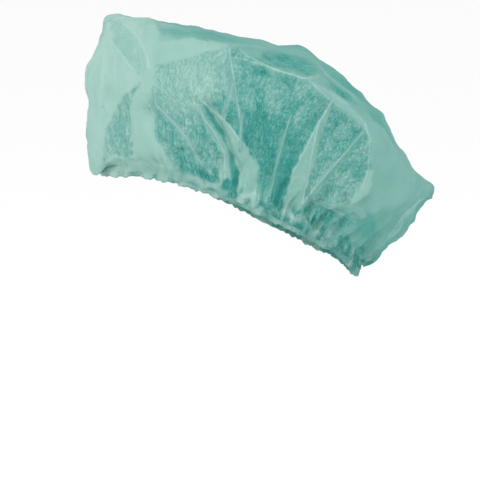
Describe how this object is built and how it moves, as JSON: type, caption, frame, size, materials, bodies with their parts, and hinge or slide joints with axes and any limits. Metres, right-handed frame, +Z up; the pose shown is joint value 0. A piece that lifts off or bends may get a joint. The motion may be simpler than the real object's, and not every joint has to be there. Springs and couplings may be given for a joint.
{
  "type": "disposable hair cover cap",
  "caption": "Puffed cap of thin green nonwoven cloth in its worn form, gathered into a narrow elastic hem round the head opening.",
  "frame": {"origin": "centre of the head opening, where the cap sits round the head", "axes": "+Z up as worn, -Y the wearer's front, +X the wearer's left; the opening slopes down from the forehead to the nape"},
  "size_m": [0.2174, 0.2584, 0.1908],
  "materials": {
    "nonwoven": "thin spunbond nonwoven cloth, matt, slightly see-through",
    "nonwoven_hem": "the same cloth, folded double and gathered",
    "elastic_band": "flat white elastic band, matt"
  },
  "bodies": {
    "root": {"crown": "nonwoven", "hem": "nonwoven_hem", "elastic": "elastic_band"}
  },
  "joints": []
}
